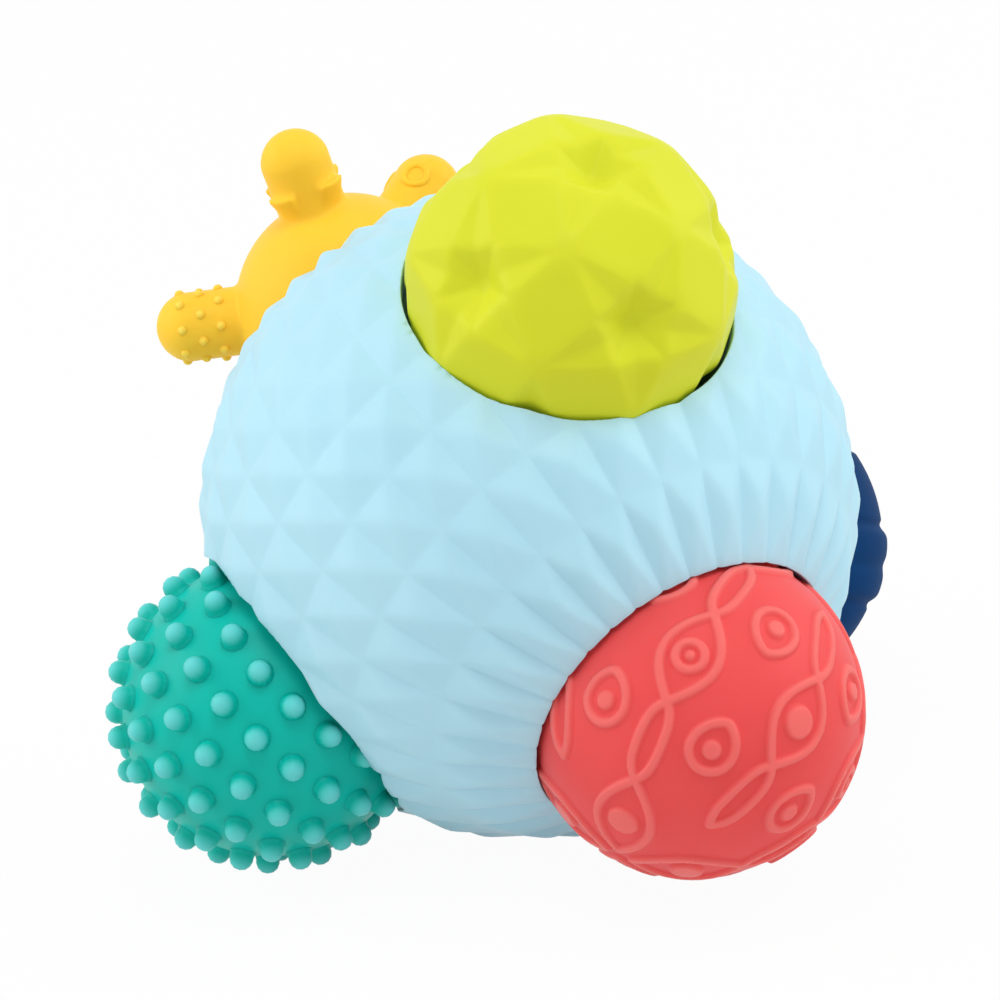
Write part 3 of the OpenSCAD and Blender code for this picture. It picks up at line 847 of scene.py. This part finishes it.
# Navy ball: wide ribs between round grooves, with a shallow crease along the middle rib
navyBall = {
    "ribTurn": 30,
    "grooveWidth": 2.4 * mm,
    "grooveDepth": 1.6 * mm,
    "grooveEdge": 1.6,        # how steep a groove's sides are
    "creaseDepth": 0.6 * mm,
    "outerDrop": 1.1 * mm,    # the other ribs lie lower than the middle one
    "lean": (90, -123.3),
    "rings": 240,
    "sides": 120,
}


def navyProfile():
    profile = []
    grooves = round(90 / navyBall["ribTurn"])  # on each side of the middle rib
    for k in range(navyBall["rings"] + 1):
        angle = 180 * k / navyBall["rings"] - 90
        nearGroove = min(abs(angle - (n + 0.5) * navyBall["ribTurn"])
                         for n in range(-grooves, grooves))
        drop = navyBall["outerDrop"] if abs(angle) > navyBall["ribTurn"] / 2 else 0
        for near, depth in ((nearGroove, navyBall["grooveDepth"]),
                            (abs(angle), navyBall["creaseDepth"])):
            across = toyRadius * math.radians(near) / navyBall["grooveWidth"]
            drop = max(drop, depth * math.exp(-across ** 2 * navyBall["grooveEdge"]))
        radius = toyRadius - drop
        turn = math.radians(angle)
        profile.append((radius * math.cos(turn) if abs(angle) < 90 else 0,
                        radius * math.sin(turn)))
    return profile


navyBallSkin = lathe("navyBallSkin", navyProfile(), navyBall["sides"])
coat(navyBallSkin, navyVinyl)
navyLean, navyWay = navyBall["lean"]
navyBallSkin.data.transform(seat("navy") @ rot("Z", navyWay) @ rot("Y", navyLean))
wear(navyBallSkin, "navy_ball", "navy_vinyl", "navy_ball_skin")
print("navy ball made")

# Yellow ball: a smaller body with knobs, each outer knob with its own texture
yellowBall = {
    "radius": 26.4 * mm,
    "rise": 6 * mm,            # its centre lies beyond its pocket's cup centre
    "aside": (2.2 * mm, 236.7),
    "knobRadius": 8.2 * mm,
    "knobReach": 45 * mm,
    "innerReach": 38.8 * mm,
    "dotted": (64, -104),      # each knob's lean from the pocket's axis, and its turn
    "leafy": (57, -12),
    "ringed": (61, 70),
    "ribbed": (60, 165),
    "inner": (122, -59),
    "innerCount": 4,
    "pegFoot": 0.6,            # where a knob starts inside the body, as a share of its radius
    "pegWaist": 0.98,          # width of a knob's straight part, as a share of its round end's
    "pegRings": 12,
    "pegSides": 40,
    "bodySplits": 5,
    "voxel": 0.5 * mm,
    "rounding": 5,
    "dotRadius": 1.2 * mm,
    "dotSink": 0.4 * mm,
    "dotSides": 10,
    "dotRows": 3,
    "dotStep": 4.5 * mm,
    "firstDot": 0.73,          # height of the first row, in steps between rows
    "dotsRound": 8,
    "bead": 0.8 * mm,
    "beadSink": 0.35 * mm,
    "beadSides": 10,
    "beadSteps": 32,
    "ringRadius": 2.8 * mm,
    "ringPlace": 0.8,
    "ringCount": 4,
    "ribCount": 4,
    "leafCount": 4,
    "leafStart": 26,
    "leafOut": 2.5 * mm,
    "leafTop": 0.62,           # share of the knob's straight side
    "leafWidth": 0.45,         # share of the room between leaves, at its foot
    "leafSpread": 0.1,         # and what is added up to its top
    "leafCurl": 0.3,           # share by which its sides stand out less
    "leafFoot": 0.94,          # share of the knob's radius
    "leafGrid": (6, 6),        # rows and columns
}
sideLow = yellowBall["radius"]
sideLength = yellowBall["knobReach"] - yellowBall["knobRadius"] - sideLow
asideReach, asideTurn = yellowBall["aside"]
yellowSeat = seat("yellow", cupReach + yellowBall["rise"]) @ Matrix.Translation((
    asideReach * math.cos(math.radians(asideTurn)),
    asideReach * math.sin(math.radians(asideTurn)), 0))


def knobTurn(name, more=0):
    lean, turn = yellowBall[name]
    return rot("Z", turn + more) @ rot("Y", lean)


def pegProfile(radius, reach):
    low = yellowBall["radius"] * yellowBall["pegFoot"]
    waist = radius * yellowBall["pegWaist"]
    rings = yellowBall["pegRings"]
    profile = [(0, low), (waist, low), (waist, reach - radius)]
    profile += [(radius * math.cos(a), reach - radius + radius * math.sin(a))
                for a in (k * math.pi / (2 * rings) for k in range(1, rings))]
    return profile + [(0, reach)]


def leafObject():
    # A flap that rises out of the knob's neck and stands out at its wider upper end
    radius = yellowBall["knobRadius"]
    halfTurn = math.pi / yellowBall["leafCount"]
    rows, columns = yellowBall["leafGrid"]
    foot = radius * yellowBall["leafFoot"]
    verts, faces = [], []
    heights = [sideLow - yellowBall["bead"] + sideLength * yellowBall["leafTop"] * j / rows
               for j in range(rows + 1)]
    for j, z in enumerate(heights):
        for i in range(columns + 1):
            side = 2 * i / columns - 1
            turn = side * halfTurn * (yellowBall["leafWidth"] + yellowBall["leafSpread"] * j / rows)
            stand = yellowBall["leafOut"] * (1 - yellowBall["leafCurl"] * side ** 2)
            out = foot + (radius - foot + stand) * j / rows
            verts.append((out * math.cos(turn), out * math.sin(turn), z))
    axis = len(verts)
    verts += [(0, 0, z) for z in heights]
    width = columns + 1
    for j in range(rows):
        low, high = j * width, (j + 1) * width
        faces += [[low + i, low + i + 1, high + i + 1, high + i] for i in range(columns)]
        faces += [[axis + j, low, high, axis + j + 1],
                  [axis + j, axis + j + 1, high + columns, low + columns]]
    top = rows * width
    for i in range(columns):
        faces += [[axis, i + 1, i], [axis + rows, top + i, top + i + 1]]
    return meshObject("leaf", verts, faces)


def yellowBody():
    bm = bmesh.new()
    bmesh.ops.create_icosphere(
        bm, subdivisions=yellowBall["bodySplits"], radius=yellowBall["radius"])

    def put(obj, place):
        obj.data.transform(place)
        bm.from_mesh(obj.data)
        dropObject(obj)

    def putPeg(reach, place):
        profile = pegProfile(yellowBall["knobRadius"], reach)
        put(lathe("peg", profile, yellowBall["pegSides"]), place)

    for name in ("dotted", "leafy", "ringed", "ribbed"):
        putPeg(yellowBall["knobReach"], knobTurn(name))
    for k in range(yellowBall["innerCount"]):
        putPeg(yellowBall["innerReach"], knobTurn("inner", 360 * k / yellowBall["innerCount"]))
    for k in range(yellowBall["leafCount"]):
        put(leafObject(), knobTurn("leafy") @ rot(
            "Z", yellowBall["leafStart"] + k * 360 / yellowBall["leafCount"]))
    mesh = bpy.data.meshes.new("yellowBody")
    bm.to_mesh(mesh)
    bm.free()
    body = showObject("yellowBody", mesh)
    remesh = body.modifiers.new("blend", "REMESH")
    remesh.mode = "VOXEL"
    remesh.voxel_size = yellowBall["voxel"]
    depsgraph = bpy.context.evaluated_depsgraph_get()
    body.data = bpy.data.meshes.new_from_object(body.evaluated_get(depsgraph))
    body.modifiers.clear()
    return runTree(body, softFacets, {
        "Level": 0, "Rounding": yellowBall["rounding"], "Material": yellowVinyl})


def dotPoints():
    place, points, ways = knobTurn("dotted"), [], []
    for row in range(yellowBall["dotRows"]):
        rise = (row + yellowBall["firstDot"]) * yellowBall["dotStep"]
        past = max(0, rise - sideLength)  # the last row lies on the round end
        out = math.sqrt(yellowBall["knobRadius"] ** 2 - past ** 2) - yellowBall["dotSink"]
        for k in range(yellowBall["dotsRound"]):
            turn = (k + (row % 2) / 2) * 2 * math.pi / yellowBall["dotsRound"]
            way = Vector((math.cos(turn), math.sin(turn), 0))
            points.append(place @ (way * out + Vector((0, 0, sideLow + rise))))
            ways.append(place.to_3x3() @ (way * out + Vector((0, 0, past))).normalized())
    return pointObject("yellowDots", points, ways)


def beadLines():
    verts, edges = [], []

    def loop(points):
        first = len(verts)
        verts.extend(points)
        edges.extend((first + k, first + (k + 1) % len(points)) for k in range(len(points)))

    radius = yellowBall["knobRadius"] - yellowBall["beadSink"]
    ring = yellowBall["ringRadius"]
    count = yellowBall["beadSteps"]
    steps = [2 * math.pi * k / count for k in range(count)]
    for k in range(yellowBall["ringCount"]):
        place = knobTurn("ringed") @ rot("Z", 360 * k / yellowBall["ringCount"])
        z = sideLow + yellowBall["ringPlace"] * sideLength
        loop([place @ Vector((radius * math.cos(ring * math.cos(a) / radius),
                              radius * math.sin(ring * math.cos(a) / radius),
                              z + ring * math.sin(a))) for a in steps])
    for k in range(yellowBall["ribCount"]):
        z = sideLow + (k + 0.5) / yellowBall["ribCount"] * sideLength
        loop([knobTurn("ribbed") @ Vector((radius * math.cos(a), radius * math.sin(a), z))
              for a in steps])
    return meshObject("yellowBallSkin", verts, edges=edges)


body = yellowBody()
dot = studObject("dot", -yellowBall["dotSink"], yellowBall["dotRadius"], yellowBall["dotRadius"],
                 yellowBall["dotSides"])
dotted = runTree(dotPoints(), studRows, {"Stud": dot, "Body": body, "Material": yellowVinyl})
yellowBallSkin = runTree(beadLines(), tubeLines, {
    "Bead Radius": yellowBall["bead"], "Bead Sides": yellowBall["beadSides"], "Body": dotted,
    "Material": yellowVinyl})
for helper in (body, dot, dotted):
    dropObject(helper)
yellowBallSkin.data.transform(yellowSeat)
wear(yellowBallSkin, "yellow_ball", "yellow_vinyl", "yellow_ball_skin")
print("yellow ball made")

# Plugs, one in each small ball and one in the floor of the yellow pocket

def plugButton(name, radius, hollow):
    # Follows the skin it closes: bulging on a small ball, hollow on a pocket's floor
    sign = -1 if hollow else 1

    def skin(r):
        return sign * (math.sqrt(radius ** 2 - r * r) - radius)

    head, edge, dimple = plug["head"], plug["edge"], plug["dimple"]
    inwards, upwards = plug["bevel"]
    stepShare, stepDepth = plug["dimpleStep"]
    profile = [(head, skin(head) - plug["skirt"]), (head, skin(head)),
               (head - inwards * edge, skin(head) + upwards * plug["rise"])]
    profile += [(r, skin(r) + plug["rise"])
                for r in (head - edge, *(head * share for share in plug["rings"]), dimple)]
    profile += [(dimple * stepShare, skin(0) - stepDepth), (0, skin(0) - plug["dimpleDepth"])]
    return lathe(name, profile, plug["sides"])


def fitPlug(name, body, slot, node, material, place, radius, hollow=False):
    button = plugButton(name, radius, hollow)
    coat(button, material)
    button.data.transform(place)
    wear(button, body, slot, node)


def innerPole(place, radius):
    return place @ rot("X", 180) @ Matrix.Translation((0, 0, radius))


plugSeats = {  # each small ball's finish and place, its skin's reach at the plug, and radius there
    "red": (redVinyl, seat("red"), redRadius, redRadius),
    "lime": (limeVinyl, seat("lime", limeReach), limeBall["dentRadius"], limeBall["dentRadius"]),
    "teal": (tealVinyl, seat("teal"), tealBall["radius"], tealBall["radius"]),
    "navy": (navyVinyl, seat("navy"), toyRadius - navyBall["creaseDepth"], toyRadius),
    "yellow": (yellowVinyl, yellowSeat, yellowBall["radius"], yellowBall["radius"]),
}
for colour, (material, place, reach, radius) in plugSeats.items():
    fitPlug(colour + "BallPlug", colour + "_ball", colour + "_vinyl", colour + "_ball_plug",
            material, innerPole(place, reach), radius)
fitPlug("bigBallPlug", "big_ball", "blue_vinyl", "big_ball_plug", blueVinyl,
        seat("yellow", cupReach - cupRadius), cupRadius, hollow=True)
print("plugs fitted")

# Floor, light and camera
studio = {
    "floorSize": 6.0,         # metres from its middle to its edges
    "floorGrey": 0.82,
    "floorRoughness": 0.9,
    "floorWhite": 0.96,       # share of plain white that the camera sees on the floor
    "worldStrength": 0.62,
    "keyPlace": (0.1, -0.5, 1.6),
    "keySize": 0.8,
    "keyPower": 7.5,
    "sidePlace": (1.3, 0.1, 0.75),  # on the right, with a like one on the left
    "sideSize": 1.0,
    "sidePower": 6.0,
    "sensor": 36,             # millimetres across the camera's sensor
    "distance": 1.6,
    "viewWidth": 0.2257,      # metres across the picture at the ball's centre
    "elevation": 22.13,
    "roll": 6.85,
    "aimLeft": 6.64 * mm,
    "aimUp": 2.19 * mm,
}
plainWhite = (1, 1, 1, 1)


def whiteToCamera(tree, shade, whiteKind, share, output):
    # Camera, mirror and clear rays see a share of plain white instead of the shade
    path = tree.nodes.new("ShaderNodeLightPath").outputs
    seen = maths(tree, "MAXIMUM", path["Is Camera Ray"], path["Is Glossy Ray"])
    seen = maths(tree, "MAXIMUM", seen, path["Is Transmission Ray"])
    part = maths(tree, "MULTIPLY", seen, share)
    white = add(tree, whiteKind, {"Color": plainWhite, "Strength": 1.0})
    mix = add(tree, "ShaderNodeMixShader", {0: part, 1: shade, 2: white.outputs[0]})
    tree.links.new(mix.outputs[0], tree.nodes[output].inputs["Surface"])


floor = meshObject("floor", [(x * studio["floorSize"], y * studio["floorSize"], 0)
                             for x, y in ((-1, -1), (1, -1), (1, 1), (-1, 1))], [[0, 1, 2, 3]])
floorPaint = bpy.data.materials.new("floorPaint")
floorPaint.use_nodes = True
tree = floorPaint.node_tree
paint = tree.nodes["Principled BSDF"]
grey = studio["floorGrey"]
paint.inputs["Base Color"].default_value = (grey, grey, grey, 1)
paint.inputs["Roughness"].default_value = studio["floorRoughness"]
whiteToCamera(tree, paint.outputs[0], "ShaderNodeEmission", studio["floorWhite"], "Material Output")
floor.data.materials.append(floorPaint)

world = bpy.data.worlds.new("studio")
bpy.context.scene.world = world
world.use_nodes = True
tree = world.node_tree
sky = tree.nodes["Background"]
sky.inputs["Color"].default_value = plainWhite
sky.inputs["Strength"].default_value = studio["worldStrength"]
whiteToCamera(tree, sky.outputs[0], "ShaderNodeBackground", 1.0, "World Output")


def softbox(name, place, size, power):
    light = bpy.data.lights.new(name, "AREA")
    light.shape = "DISK"
    light.size = size
    light.energy = power
    lamp = bpy.data.objects.new(name, light)
    lamp.location = place
    lamp.rotation_euler = (centre - Vector(place)).to_track_quat("-Z", "Y").to_euler()
    bpy.context.scene.collection.objects.link(lamp)


softbox("keyLight", studio["keyPlace"], studio["keySize"], studio["keyPower"])
sideX, sideY, sideZ = studio["sidePlace"]
for side in (-1, 1):
    softbox("sideLight", (side * sideX, sideY, sideZ), studio["sideSize"], studio["sidePower"])

tilt = math.radians(studio["elevation"])
roll = math.radians(studio["roll"])
upward = Vector((0, math.sin(tilt), math.cos(tilt)))
toward = Vector((0, -math.cos(tilt), math.sin(tilt)))
right = Vector((math.cos(roll), 0, 0)) - math.sin(roll) * upward
upward = Vector((math.sin(roll), 0, 0)) + math.cos(roll) * upward
aim = centre - right * studio["aimLeft"] + upward * studio["aimUp"]
lens = bpy.data.cameras.new("camera")
lens.sensor_width = studio["sensor"]
lens.lens = lens.sensor_width * studio["distance"] / studio["viewWidth"]
camera = bpy.data.objects.new("camera", lens)
camera.matrix_world = Matrix.Translation(aim + toward * studio["distance"]) @ Matrix(
    (right, upward, toward)).transposed().to_4x4()
bpy.context.scene.collection.objects.link(camera)
bpy.context.scene.camera = camera
bpy.context.scene.view_settings.view_transform = "Standard"
print("studio set")
